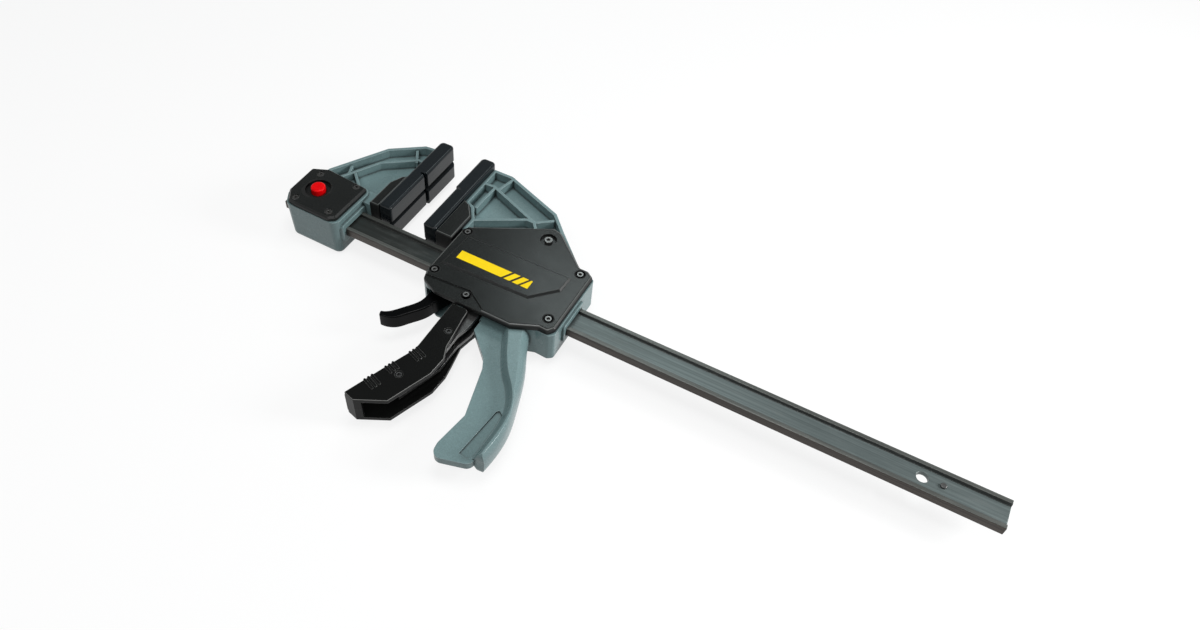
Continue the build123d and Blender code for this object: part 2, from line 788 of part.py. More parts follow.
def panel_outline():
    return at_front([(6.2, -12.5), (housing_length - 32, -9.8), (housing_length - 14.7, 8.5),
                     (housing_length - 14, 23.5), (8.5, 22)])


def build_side_cover():
    with BuildPart() as cover:
        slab(cover_outline(), cover_low, cover_top, cover_corner)
        fillet(edges_at(cover, cover_top), cover_edge)
        slab(panel_outline(), cover_top - 1, cover_top + panel_raise)
        chamfer(edges_at(cover, cover_top + panel_raise), panel_edge)
        slab(at_front([(-2, -27.5), (40.5, -24.5), (57, housing_low + 1), (57, housing_low - 8),
                       (-2, housing_low - 8)]),
             cover_top - step_drop, cover_top + 1, mode=Mode.SUBTRACT)
        for point in screw_points_cover():
            disc(point, screw_head_d + screw_well, cover_top - screw_head, cover_top + 1,
                 mode=Mode.SUBTRACT)
            disc(point, screw_shank_d + 2 * fit_gap, cover_low, cover_top, mode=Mode.SUBTRACT)
        disc(bolt_point, bolt_bore_d, cover_top - bolt_seat, cover_top + 1, mode=Mode.SUBTRACT)
        disc(bolt_point, bolt_shank_d + 2 * fit_gap, cover_low, cover_top, mode=Mode.SUBTRACT)
        for point, size in ((pivot, pivot_d), (brake_pin, brake_pin_d)):
            disc(point, size, cover_low, cover_low + 2, mode=Mode.SUBTRACT)
        slab(label_outline(), cover_top + panel_raise - label_sunk, cover_top + panel_raise + 1,
             mode=Mode.SUBTRACT)
    finish(cover, "side_cover")


def label_outline():
    return at_front([(14, -3), (housing_length - 36.5, -3), (housing_length - 36.5, 5.5), (14, 5.5)])


def build_label_plate():
    with BuildPart() as label:
        bottom = cover_top + panel_raise - label_sunk
        slab(label_outline(), bottom, bottom + label_thick)
    finish(label, "label_plate")


def build_cover_screws():
    seat = cover_top - screw_head
    with BuildPart() as screws:
        for point in screw_points_cover():
            socket_screw(point, seat, screw_head_d, screw_head, screw_shank_d,
                         seat - cover_low + cover_screw_thread - screw_clear, screw_socket_d,
                         screw_socket)
    finish(screws, "cover_screws")


def build_cover_bolt():
    seat = cover_top - bolt_seat
    with BuildPart() as bolt:
        socket_screw(bolt_point, seat, bolt_head_d, screw_head, bolt_shank_d,
                     bolt_length - bolt_thread_play, bolt_socket_d, screw_socket)
    finish(bolt, "cover_bolt")


def build_guide(name, x, key):
    """Wear guide round the bar; the rear one has keys that run in the bar's grooves."""
    with BuildPart() as guide:
        block((x, x + guide_thick), (-guide_half_y, guide_half_y), (cavity_floor, cover_low))
        block((x - 1, x + guide_thick + 1), (-socket_y, socket_y), (-socket_z, socket_z),
              mode=Mode.SUBTRACT)
        if key:
            for side in (1, -1):
                span = sorted((side * (web_z + face_gap), side * socket_z))
                block((x, x + guide_thick), (-guide_key_y, guide_key_y), span)
    finish(guide, name)


def build_pin(name, centre, diameter):
    with BuildPart() as pin:
        disc(centre, diameter, cavity_floor - 2, cover_low + 2)
    finish(pin, name)


# ---------------------------------------------------------------- trigger
def trigger_front_edge():
    return at_front([(34, trigger_top_y), (34, -58), (34.5, -83.5), (34, -89.5), (25, -113.5),
                     (14.5, -143)])


def trigger_outline(flare):
    """Moulded grip seen from above, from the housing down to the tip."""
    return trigger_front_edge() + at_front([
        (23.5, -145.2), (44, -134), (56, -100.5), (56.8, -85), (52.5 + 0.36 * flare, -75),
        (50 + 0.25 * flare, -57), (48.5 + 0.7 * flare, -47),
        (47.9 + flare, trigger_top_y - trigger_top_corner), (45.9 + flare, trigger_top_y),
    ])


def build_trigger_shell(name, side):
    """One moulded half: a side plate with its half of the front wall, open to the handle."""
    outer = side * trigger_half
    inner = side * (trigger_half - trigger_plate)
    edge = trigger_front_edge()
    with BuildPart() as shell:
        slab(trigger_outline(0 if side > 0 else trigger_flare), min(inner, outer), max(inner, outer),
             trigger_corner)
        fillet(edges_at(shell, outer), trigger_edge)
        slab(edge + at_front([(23.5, -145.2), (28, -142.7), (26.3, -139.6), (19, -138)])
             + [(x + trigger_front_wall, y) for x, y in reversed(edge[:-1])],
             min(0, inner), max(0, inner))
        grip_ridges(side)
        for x, y in trigger_screw_points():
            boss = sorted((side * trigger_boss_in, inner))
            disc((x, y), trigger_boss_d, *boss)
            disc((x, y), trigger_screw_d + 2 * fit_gap, min(0, outer), max(0, outer), mode=Mode.SUBTRACT)
            if side > 0:
                disc((x, y), screw_head_d + screw_clear, outer - trigger_screw_recess, outer,
                     mode=Mode.SUBTRACT)
    finish(shell, name)


def grip_ridges(side):
    """Three groups of small ridges that wrap from the side onto the front of the grip."""
    start, end = trigger_front_edge()[3], trigger_front_edge()[5]
    length = hypot(end[0] - start[0], end[1] - start[1])
    along = ((end[0] - start[0]) / length, (end[1] - start[1]) / length)
    inward = (-along[1], along[0])
    inner = side * (trigger_half - trigger_plate)
    proud = side * (trigger_half + ridge_proud)
    for group, ridge_length in zip(ridge_groups, ridge_lengths):
        for number in range(3):
            shift = group + number * ridge_pitch
            foot = (start[0] + along[0] * shift + inward[0] * ridge_inset,
                    start[1] + along[1] * shift + inward[1] * ridge_inset)
            deep = (foot[0] + inward[0] * ridge_length, foot[1] + inward[1] * ridge_length)
            shallow = (foot[0] + inward[0] * 2, foot[1] + inward[1] * 2)
            ribs([foot, deep], ridge_width, min(inner, proud), max(inner, proud))
            ribs([foot, shallow], ridge_width, min(0, inner), max(0, inner))


def trigger_screw_points():
    return at_front([(45.8, -62.5), (37.7, -112)])


def build_trigger_arm(name, side):
    """Steel cheek beside the bar: pin lobe, nose that pushes the plates, and a shank in the grip."""
    low = trigger_cheek_in if side > 0 else -trigger_cheek_in - trigger_cheek
    high = low + trigger_cheek
    with BuildPart() as arm:
        disc(pivot, 2 * arm_lobe_r, low, high)
        disc(nose, 2 * nose_r, low, high)
        slab([(pivot[0] - 5, pivot_y), (pivot[0] + 4, pivot_y), (nose[0] + nose_r, nose[1] + 1),
              (nose[0] + nose_r, nose[1] - 1)]
             + at_front([(52, -24), (54.5, -37), (54.3, -47), (51.5, -60), (52, -84), (41, -119),
                         (34, -119), (41, -89), (40, -58), (40, -38), (44, -12)]), low, high)
        disc(pivot, pivot_d + 2 * fit_gap, low, high, mode=Mode.SUBTRACT)
        for point in trigger_screw_points():
            disc(point, trigger_boss_d + 2 * fit_gap, low, high, mode=Mode.SUBTRACT)
    finish(arm, name)


def build_trigger_screws():
    seat = trigger_half - trigger_screw_recess
    with BuildPart() as screws:
        for point in trigger_screw_points():
            socket_screw(point, seat, screw_head_d - screw_clear, trigger_screw_head, trigger_screw_d,
                         seat + trigger_half - trigger_screw_end, screw_socket_d, trigger_screw_socket)
    finish(screws, "trigger_screws")


# ---------------------------------------------------------------- drive and brake
def build_drive_plates():
    for number in range(plate_count):
        x = plates_x + number * (plate_thick + plate_gap)
        with BuildPart() as plate:
            block((x, x + plate_thick), (plate_low, plate_high), (-plate_half_z, plate_half_z))
            chamfer(plate.edges().filter_by(Axis.X), 2)
            block((x - 1, x + plate_thick + 1), (-socket_y, socket_y), (-socket_z, socket_z),
                  mode=Mode.SUBTRACT)
        finish(plate, f"drive_plate_{number + 1}")


def build_brake_plates():
    for number in range(2):
        x = brake_pin[0] + (number - 1) * brake_plate_thick
        with BuildPart() as plate:
            block((x, x + brake_plate_thick), (brake_low, brake_high), (-brake_half_z, brake_half_z))
            block((x - 1, x + brake_plate_thick + 1), (-bar_y - brake_slot, bar_y + brake_slot),
                  (-socket_z - face_gap, socket_z + face_gap), mode=Mode.SUBTRACT)
        finish(plate, f"brake_plate_{number + 1}")


def build_release_lever():
    """Curved finger lever with a turned-up tip, forked round the bar."""
    pin = brake_pin
    fork_low = brake_low - fork_bridge
    left, right = pin[0] - fork_half, pin[0] + fork_half
    fork = [(left, pin[1]), (left, fork_low), (right, fork_low), (right, pin[1])]
    outer = [(9.8, -36), (8.3, -47), (2.1, -56.2), (-2.4, -62.3), (-5.6, -65.6), (-10.6, -68)]
    under = [(-9.3, -71.8), (-2.3, -70.6), (2.8, -67.7), (8.5, -60.5), (15.5, -50.8), (18.7, -42.6)]
    with BuildPart() as lever:
        with BuildSketch(Plane.XY.offset(-lever_half)) as blade:
            with BuildLine():
                top = Spline(*at_front(outer))
                bottom = Spline(*at_front(under))
                Line(top @ 1, bottom @ 0)
                Polyline(bottom @ 1, (right, brake_low), (left, brake_low), top @ 0)
            make_face()
        extrude(blade.sketch, amount=2 * lever_half)
        tip = lever.edges().filter_by(Axis.Z).sort_by(Axis.X)[:2]
        fillet(tip, lever_edge)
        fillet(edges_at(lever, lever_half), lever_edge)
        fillet(edges_at(lever, -lever_half), lever_edge)
        for side in (1, -1):
            low = min(side * brake_half_z, side * (brake_half_z + fork_thick))
            slab(fork, low, low + fork_thick)
            disc(pin, 2 * fork_half, low, low + fork_thick)
            bridge = sorted((side * (lever_half - 1), side * brake_half_z))
            block((left, right), (fork_low, brake_low), bridge)
        disc(pin, brake_pin_d + 2 * fit_gap, -20, 20, mode=Mode.SUBTRACT)
    finish(lever, "release_lever")


def build_springs():
    stack = plates_x + plate_count * (plate_thick + plate_gap)
    coil((stack + spring_wire / 2, spring_y, 0), (1, 0, 0), seat - stack - spring_wire, 6,
         spring_d, spring_wire, "drive_spring")
    start = brake_pin[0] + brake_plate_thick
    end = front + brake_seat_x
    coil((start + brake_spring_wire / 2, spring_y, 0), (1, 0, 0), end - start - brake_spring_wire, 3,
         brake_spring_d, brake_spring_wire, "brake_spring")


os.makedirs("parts", exist_ok=True)
build_bar()
build_stop_pin()
build_fixed_jaw_body()
build_fixed_jaw_cover()
build_fixed_cover_screws()
build_carrier("fixed_pad_carrier", -pad_thick, fixed_carrier_depth, -1)
build_pad("fixed_jaw_pad", 0, 1)
build_release_button()
build_button_spring()
build_lock_rocker()
build_rocker_pin()
build_housing_body()
build_side_cover()
build_label_plate()
build_cover_screws()
build_cover_bolt()
build_carrier("moving_pad_carrier", opening + pad_thick, moving_carrier_depth, 1)
build_pad("moving_jaw_pad", opening, -1)
build_guide("front_guide", front + housing_wall, False)
build_guide("rear_guide", rear - housing_wall - guide_thick, True)
build_pin("trigger_pin", pivot, pivot_d)
build_pin("brake_pin", brake_pin, brake_pin_d)
build_trigger_shell("trigger_shell_front", 1)
build_trigger_shell("trigger_shell_back", -1)
build_trigger_arm("trigger_arm_front", 1)
build_trigger_arm("trigger_arm_back", -1)
build_trigger_screws()
build_drive_plates()
build_brake_plates()
build_release_lever()
build_springs()
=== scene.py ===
import json
import math

import bpy
from mathutils import Matrix, Vector

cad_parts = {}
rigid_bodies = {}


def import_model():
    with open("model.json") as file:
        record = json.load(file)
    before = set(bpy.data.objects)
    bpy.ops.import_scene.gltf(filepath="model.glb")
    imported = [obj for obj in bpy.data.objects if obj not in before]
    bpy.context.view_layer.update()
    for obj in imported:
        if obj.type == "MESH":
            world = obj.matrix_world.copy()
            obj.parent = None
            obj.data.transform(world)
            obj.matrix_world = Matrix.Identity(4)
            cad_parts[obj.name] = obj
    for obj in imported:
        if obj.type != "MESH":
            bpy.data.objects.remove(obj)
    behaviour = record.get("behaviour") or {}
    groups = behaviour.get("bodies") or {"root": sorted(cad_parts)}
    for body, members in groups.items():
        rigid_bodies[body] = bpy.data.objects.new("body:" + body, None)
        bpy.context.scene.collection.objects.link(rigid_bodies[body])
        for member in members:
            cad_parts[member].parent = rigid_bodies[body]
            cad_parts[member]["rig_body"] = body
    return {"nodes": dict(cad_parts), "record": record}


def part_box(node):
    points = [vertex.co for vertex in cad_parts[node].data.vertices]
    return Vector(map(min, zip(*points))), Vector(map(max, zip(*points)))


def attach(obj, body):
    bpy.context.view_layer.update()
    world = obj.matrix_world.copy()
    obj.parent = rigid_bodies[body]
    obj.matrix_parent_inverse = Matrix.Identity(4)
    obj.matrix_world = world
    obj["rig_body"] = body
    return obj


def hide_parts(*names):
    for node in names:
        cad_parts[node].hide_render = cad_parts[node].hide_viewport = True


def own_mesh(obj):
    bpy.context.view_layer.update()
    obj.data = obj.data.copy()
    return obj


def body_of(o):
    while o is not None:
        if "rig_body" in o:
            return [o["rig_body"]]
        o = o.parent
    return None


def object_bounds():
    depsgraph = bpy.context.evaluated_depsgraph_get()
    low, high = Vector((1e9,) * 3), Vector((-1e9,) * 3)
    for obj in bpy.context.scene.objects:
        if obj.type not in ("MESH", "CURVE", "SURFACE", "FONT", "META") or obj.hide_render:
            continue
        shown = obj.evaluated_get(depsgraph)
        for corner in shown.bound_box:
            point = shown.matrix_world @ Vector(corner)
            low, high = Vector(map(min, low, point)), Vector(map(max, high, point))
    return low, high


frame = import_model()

# The quick release bar clamp as it is seen: camera, lamps, paper floor, a finish for each
# piece, and copies of the springs in place of the imported ones. The shapes are the imported
# ones.
CAD_BOX = [list(corner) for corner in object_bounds()]
NODES = frame["nodes"]
MM = 0.001

# ---------------------------------------------------------------- camera and light
# The camera's place and axes in the part's frame, its lens in millimetres, and its shift as
# shares of the picture's width.
CAMERA_PLACE = (0.3488, -0.3923, 0.5138)
CAMERA_RIGHT = (0.85766, 0.51422, 0.00283)
CAMERA_UP = (-0.38567, 0.63959, 0.66497)
CAMERA_BACK = (0.34013, -0.57140, 0.74687)
CAMERA_LENS = 27.21
CAMERA_SENSOR = 36
CAMERA_SHIFT = (0.0792, -0.0208)
CAMERA_CLIP = (0.01, 20)

SKY_COLOUR = (0.95, 0.98, 1.0)
SKY_STRENGTH = 0.2

# Each lamp's place, target, width and height, watts and colour.
LAMPS = {
    "key": ((0.25, 0.05, 1.25), (0.08, 0.0, 0.0), (0.5, 0.5), 6.2, (1, 1, 1)),
    "far": ((-0.11, 0.80, 1.00), (0.12, 0.0, 0.0), (0.4, 0.26), 1.4, (0.88, 1.0, 1.0)),
    "side": ((1.00, 0.30, 0.42), (0.14, 0.0, 0.0), (0.3, 0.3), 8.2, (1, 1, 1)),
    "front": ((0.10, -0.80, 1.10), (0.08, 0.0, 0.0), (0.9, 0.5), 4.3, (1, 1, 1)),
    "crest": ((-0.32, -0.50, 1.10), (0.08, 0.0, 0.0), (0.14, 0.14), 0.65, (1, 1, 1)),
}

# The floor's outline, as radius and height from its centre outwards.
FLOOR_PROFILE = [(2.2, 0.0), (2.6, 0.08), (2.85, 0.3), (2.95, 0.7), (3.0, 1.8)]
FLOOR_SIDES = 64
FLOOR_GAP = 0.3 * MM           # under the lowest point of the part
FLOOR_SEEN = 0.95              # paleness of the paper to the camera and in reflections
FLOOR_UNSEEN = 0.4             # and to all other light
FLOOR_GLOW = 0.82              # share of the seen paper that is white whatever the lamps do

# ---------------------------------------------------------------- colours, linear
# In the six pairs that follow, the second colour lightens the edges: wear and painted highlight.
GREY = (0.140, 0.212, 0.217)
GREY_WEAR_AND_HIGHLIGHT = (0.44, 0.55, 0.55)
BLACK = (0.0075, 0.0088, 0.0083)
BLACK_WEAR_AND_HIGHLIGHT = (0.13, 0.14, 0.135)
GLOSS_BLACK = (0.0052, 0.0055, 0.0052)
GLOSS_WEAR_AND_HIGHLIGHT = (0.28, 0.28, 0.27)
LEVER_BLACK = (0.0015, 0.0016, 0.0018)
LEVER_WEAR_AND_HIGHLIGHT = (0.06, 0.06, 0.06)
RUBBER = (0.0070, 0.0100, 0.0120)
RUBBER_WEAR_AND_HIGHLIGHT = (0.04, 0.045, 0.05)
RED = (0.68, 0.001, 0.003)
RED_WEAR_AND_HIGHLIGHT = (0.85, 0.02, 0.03)
ZINC = (0.25, 0.25, 0.245)
DULL_ZINC = (0.13, 0.13, 0.13)
OILED_STEEL = (0.15, 0.15, 0.148)
SOCKET_SHADE = (0.004, 0.004, 0.004)
HEAD_EDGE_SHADE = (0.006, 0.006, 0.006)
BLACK_STEEL = ((0.022, 0.022, 0.022), (0.045, 0.045, 0.043))
BLACK_STEEL_WEAR_AND_HIGHLIGHT = (0.34, 0.34, 0.32)

# The bar's colours: dark and light streaks of each stretch, then single colours: painted shade
# near the jaws and in the groove roots, scuffs, and edges lightened by wear and painted
# highlight.
BAR_WEB = ((0.080, 0.100, 0.099), (0.148, 0.182, 0.181))
BAR_FLANGE = ((0.060, 0.065, 0.060), (0.125, 0.132, 0.124))
BAR_OUTER = ((0.018, 0.014, 0.011), (0.060, 0.048, 0.040))
BAR_SHADE_NEAR_JAW = (0.013, 0.013, 0.011)
BAR_ROOT_SHADE = (0.010, 0.011, 0.010)
BAR_SCUFF = (0.17, 0.18, 0.17)
BAR_WEAR_AND_HIGHLIGHT = (0.24, 0.24, 0.22)

YELLOW = ((0.86, 0.61, 0.003), (0.94, 0.67, 0.005))
YELLOW_RUBBED = (0.5, 0.36, 0.06)
YELLOW_EDGE = (0.25, 0.18, 0.02)
PRINT_GAP = (0.016, 0.016, 0.014)

# ---------------------------------------------------------------- places on the pieces
# Across the bar, as distance from its centre line with half the width of each change.
BAR_ROOT_START = (6.8 * MM, 0.2 * MM)
BAR_ROOT_END = (8.4 * MM, 0.1 * MM)
BAR_FLANGE_START = (8.1 * MM, 0.2 * MM)
BAR_OUTER_START = (11.3 * MM, 0.1 * MM)
BAR_SHADE_RANGE = (0.02, 0.26)  # along the bar, painted shade on the web near the jaws fades out in this stretch
BAR_SHADE_SHARE = 0.85
BAR_ROOT_SHADE_SHARE = 0.85
BAR_WEAR_AND_HIGHLIGHT_SHARE = 0.4
BAR_DRAWN = (6, 900, 900)      # streaks per metre, along and across the bar
BAR_SCUFFED = (40, 260, 260)

STRIPE_PITCH = 7.2 * MM
STRIPE_SLANT = 0.6             # how far a gap leans over for its height
STRIPE_GAP = 0.30              # share of the pitch
STRIPE_GAP_SOFT = 0.01
STRIPES_START = 25.1 * MM      # from the plate's end
STRIPES_END = 4.5 * MM
STRIPE_SOFT = 0.1 * MM

HEAD_DEPTH = 2.0 * MM          # part of the fasteners that counts as their heads
HEAD_SPREAD = 9 * MM           # points closer than this belong to one head
COVER_HEAD_SHADE_FROM = 2.25 * MM  # radius past which a head gets painted shade
TRIGGER_HEAD_SHADE_FROM = 2.2 * MM
BUTTON_SHADE = 8.2 * MM        # radius of the shade round the button

# ---------------------------------------------------------------- shading
SAMPLES = 8                    # of each rounded edge and of each look into a well
TURNED = (0.995, 0.8)          # cosine between face and rounded edge, from none to full
HIGHLIGHT_SOFT_LOW = 0.08            # how softly the painted highlight on a rim starts and ends, in the upward share
HIGHLIGHT_SOFT_HIGH = 0.03
NOISE_MIDDLE = (0.3, 0.7)      # where most of a noise lies
NOISE_SHARP = (0.35, 0.65)

# ---------------------------------------------------------------- springs
# Each one's joint, its axis, its seat and how far it shortens.
SPRINGS = {
    "drive_spring": ("plates_slide", (1, 0, 0), (0.152, 0, 0), 8.0 * MM),
    "brake_spring": ("lever_pivot", (1, 0, 0), (0.0912, 0, 0), 4.4 * MM),
    "button_spring": ("button_press", (0, 0, 1), (-0.0636, 0.0035, 0.0098), 1.7 * MM),
}


# ---------------------------------------------------------------- staging
def placed(name, data):
    """A new object with this data, linked into the scene."""
    obj = bpy.data.objects.new(name, data)
    bpy.context.scene.collection.objects.link(obj)
    return obj


def camera():
    data = bpy.data.cameras.new("camera")
    obj = placed("camera", data)
    axes = Matrix((CAMERA_RIGHT, CAMERA_UP, CAMERA_BACK)).transposed()
    obj.matrix_world = Matrix.Translation(CAMERA_PLACE) @ axes.to_4x4()
    data.sensor_fit = "HORIZONTAL"
    data.sensor_width = CAMERA_SENSOR
    data.lens = CAMERA_LENS
    data.shift_x, data.shift_y = CAMERA_SHIFT
    data.clip_start, data.clip_end = CAMERA_CLIP
    bpy.context.scene.camera = obj


def lamp(name, place, target, size, watts, colour):
    """A soft rectangular lamp that points at its target."""
    data = bpy.data.lights.new(name, "AREA")
    data.shape = "RECTANGLE"
    data.size, data.size_y = size
    data.energy = watts
    data.color = colour
    obj = placed(name, data)
    obj.location = place
    direction = Vector(target) - Vector(place)
    obj.rotation_euler = direction.to_track_quat("-Z", "Y").to_euler()


def studio():
    """Pale sky and soft lamps."""
    world = bpy.data.worlds.new("studio")
    bpy.context.scene.world = world
    world.use_nodes = True
    background = world.node_tree.nodes["Background"]
    background.inputs["Color"].default_value = (*SKY_COLOUR, 1)
    background.inputs["Strength"].default_value = SKY_STRENGTH
    for name, settings in LAMPS.items():
        lamp(name, *settings)


def floor_mesh():
    """A round sheet that turns up into a wall all round."""
    points = [(0, 0, 0)]
    for radius, height in FLOOR_PROFILE:
        for k in range(FLOOR_SIDES):
            angle = 2 * math.pi * k / FLOOR_SIDES
            points.append((radius * math.cos(angle), radius * math.sin(angle), height))
    faces = [(0, 1 + k, 1 + (k + 1) % FLOOR_SIDES) for k in range(FLOOR_SIDES)]
    for ring in range(len(FLOOR_PROFILE) - 1):
        first = 1 + ring * FLOOR_SIDES
        for k in range(FLOOR_SIDES):
            here = first + k
            following = first + (k + 1) % FLOOR_SIDES
            faces.append((here, here + FLOOR_SIDES, following + FLOOR_SIDES, following))
    mesh = bpy.data.meshes.new("floor")
    mesh.from_pydata(points, [], faces)
    for face in mesh.polygons:
        face.use_smooth = True
    return mesh


def floor_paper():
    """Paper that the camera and the reflections see nearly white, with the part's shadow."""
    mat = bpy.data.materials.new("floor_paper")
    mat.use_nodes = True
    tree = mat.node_tree
    tree.nodes.clear()
    out = tree.nodes.new("ShaderNodeOutputMaterial")
    matt = tree.nodes.new("ShaderNodeBsdfDiffuse")
    glow = tree.nodes.new("ShaderNodeEmission")
    glow.inputs["Color"].default_value = (1, 1, 1, 1)
    glow.inputs["Strength"].default_value = 1.0
    path = tree.nodes.new("ShaderNodeLightPath")
    seen = path.outputs["Is Camera Ray"]
    for kind in ("Is Glossy Ray", "Is Transmission Ray"):
        either = tree.nodes.new("ShaderNodeMath")
        either.operation = "MAXIMUM"
        tree.links.new(seen, either.inputs[0])
        tree.links.new(path.outputs[kind], either.inputs[1])
        seen = either.outputs[0]
    paper = tree.nodes.new("ShaderNodeMix")
    paper.data_type = "RGBA"
    paper.inputs["A"].default_value = (FLOOR_UNSEEN, FLOOR_UNSEEN, FLOOR_UNSEEN, 1)
    paper.inputs["B"].default_value = (FLOOR_SEEN, FLOOR_SEEN, FLOOR_SEEN, 1)
    tree.links.new(seen, paper.inputs["Factor"])
    tree.links.new(paper.outputs["Result"], matt.inputs["Color"])
    share = tree.nodes.new("ShaderNodeMath")
    share.operation = "MULTIPLY"
    share.inputs[1].default_value = FLOOR_GLOW
    tree.links.new(seen, share.inputs[0])
    mix = tree.nodes.new("ShaderNodeMixShader")
    tree.links.new(share.outputs[0], mix.inputs["Fac"])
    tree.links.new(matt.outputs[0], mix.inputs[1])
    tree.links.new(glow.outputs[0], mix.inputs[2])
    tree.links.new(mix.outputs[0], out.inputs["Surface"])
    return mat


def floor():
    mesh = floor_mesh()
    obj = placed("floor", mesh)
    obj.location = (0, 0, CAD_BOX[0][2] - FLOOR_GAP)
    mesh.materials.append(floor_paper())


# ---------------------------------------------------------------- shader recipes
class Shader:
    """A Principled material with the few node recipes that the finishes share."""

    def __init__(self, name):
        self.material = bpy.data.materials.new(name)
        self.material.use_nodes = True
        self.tree = self.material.node_tree
        self.shader = self.tree.nodes["Principled BSDF"]
        self.coordinates = self.tree.nodes.new("ShaderNodeTexCoord")
        self.place = self.coordinates.outputs["Object"]

    def link(self, a, b):
        self.tree.links.new(a, b)

    def stretched(self, scale):
        """The place, with its own scale along each axis."""
        node = self.tree.nodes.new("ShaderNodeMapping")
        node.inputs["Scale"].default_value = scale
        self.link(self.place, node.inputs["Vector"])
        return node.outputs["Vector"]

    def plan(self):
        """The x and y of the place."""
        node = self.tree.nodes.new("ShaderNodeSeparateXYZ")
        self.link(self.place, node.inputs[0])
        return node.outputs["X"], node.outputs["Y"]

    def noise(self, scale, detail, rough=0.5, stretch=None):
        node = self.tree.nodes.new("ShaderNodeTexNoise")
        node.inputs["Scale"].default_value = scale
        node.inputs["Detail"].default_value = detail
        node.inputs["Roughness"].default_value = rough
        self.link(self.stretched(stretch) if stretch else self.place, node.inputs["Vector"])
        return node.outputs["Fac"]

    def cells(self, scale):
        node = self.tree.nodes.new("ShaderNodeTexVoronoi")
        node.inputs["Scale"].default_value = scale
        self.link(self.place, node.inputs["Vector"])
        return node.outputs["Distance"]

    def remap(self, value, low, high, to_low=0.0, to_high=1.0):
        """The value, moved from the first range to the second and kept inside it."""
        node = self.tree.nodes.new("ShaderNodeMapRange")
        node.inputs["From Min"].default_value = low
        node.inputs["From Max"].default_value = high
        node.inputs["To Min"].default_value = to_low
        node.inputs["To Max"].default_value = to_high
        self.link(value, node.inputs["Value"])
        return node.outputs["Result"]

    def past(self, value, edge, soft):
        """A mask that is 1 where the value is past the edge."""
        return self.remap(value, edge - soft, edge + soft)

    def before(self, value, edge, soft):
        """A mask that is 1 where the value hasn't reached the edge."""
        return self.remap(value, edge - soft, edge + soft, 1, 0)

    def maths(self, operation, a, b=0.0):
        node = self.tree.nodes.new("ShaderNodeMath")
        node.operation = operation
        for socket, value in zip(node.inputs, (a, b)):
            if isinstance(value, (int, float)):
                socket.default_value = value
            else:
                self.link(value, socket)
        return node.outputs[0]

    def blend(self, fac, a, b):
        node = self.tree.nodes.new("ShaderNodeMix")
        node.data_type = "RGBA"
        self.link(fac, node.inputs["Factor"])
        for socket, value in ((node.inputs["A"], a), (node.inputs["B"], b)):
            if isinstance(value, tuple):
                socket.default_value = (*value, 1)
            else:
                self.link(value, socket)
        return node.outputs["Result"]

    def rounded(self, radius):
        """The normal of softly rounded edges, and a mask that is 1 along them."""
        bevel = self.tree.nodes.new("ShaderNodeBevel")
        bevel.samples = SAMPLES
        bevel.inputs["Radius"].default_value = radius
        shape = self.tree.nodes.new("ShaderNodeNewGeometry")
        dot = self.tree.nodes.new("ShaderNodeVectorMath")
        dot.operation = "DOT_PRODUCT"
        self.link(bevel.outputs["Normal"], dot.inputs[0])
        self.link(shape.outputs["Normal"], dot.inputs[1])
        return bevel.outputs["Normal"], self.remap(dot.outputs["Value"], *TURNED)

    def rings(self, centres, radius, soft):
        """A mask that is 1 within the radius of any of the centres, seen from above."""
        x, y = self.plan()
        total = None
        for centre in centres:
            dx = self.maths("SUBTRACT", x, centre[0])
            dy = self.maths("SUBTRACT", y, centre[1])
            squares = self.maths("ADD", self.maths("MULTIPLY", dx, dx),
                                 self.maths("MULTIPLY", dy, dy))
            near = self.remap(self.maths("SQRT", squares), radius, radius + soft, 1, 0)
            total = near if total is None else self.maths("MAXIMUM", total, near)
        return total

    def upward(self):
        """How far the face looks up, from -1 to 1."""
        node = self.tree.nodes.new("ShaderNodeSeparateXYZ")
        self.link(self.coordinates.outputs["Normal"], node.inputs[0])
        return node.outputs["Z"]

    def highlight_band(self, low, high):
        """A mask for painted highlight, 1 on rounded rims where the face looks up by low to high.
        """
        up = self.upward()
        return self.maths("MULTIPLY", self.remap(up, low - HIGHLIGHT_SOFT_LOW, low),
                          self.remap(up, high, high + HIGHLIGHT_SOFT_HIGH, 1, 0))

    def shut_in(self, distance, low=0.35, high=0.75):
        """A mask that is 1 in narrow wells and gaps, where little light gets in."""
        node = self.tree.nodes.new("ShaderNodeAmbientOcclusion")
        node.samples = SAMPLES
        node.inputs["Distance"].default_value = distance
        return self.remap(node.outputs["AO"], low, high, 1, 0)

    def bump(self, height, distance, strength, normal=None):
        node = self.tree.nodes.new("ShaderNodeBump")
        node.inputs["Distance"].default_value = distance
        node.inputs["Strength"].default_value = strength
        self.link(height, node.inputs["Height"])
        if normal:
            self.link(normal, node.inputs["Normal"])
        return node.outputs["Normal"]

    def done(self, colour, roughness, normal, **fixed):
        """The material, with uniform values set on the shader's own sockets."""
        self.link(colour, self.shader.inputs["Base Color"])
        self.link(roughness, self.shader.inputs["Roughness"])
        self.link(normal, self.shader.inputs["Normal"])
        for name, value in fixed.items():
            self.shader.inputs[name.replace("_", " ")].default_value = value
        return self.material


def scaled(colour, share):
    return tuple(c * share for c in colour)


def heads(node):
    """Centres of the separate heads of one node of fasteners, seen from above."""
    mesh = NODES[node].data
    top = max(v.co.z for v in mesh.vertices) - HEAD_DEPTH
    found = []
    for v in mesh.vertices:
        if v.co.z > top:
            for group in found:
                if (group[0] - v.co).length < HEAD_SPREAD:
                    group.append(v.co.copy())
                    break
            else:
                found.append([v.co.copy()])
    centres = []
    for group in found:
        x, y = ([point[axis] for point in group] for axis in (0, 1))
        centres.append(((min(x) + max(x)) / 2, (min(y) + max(y)) / 2))
    return centres


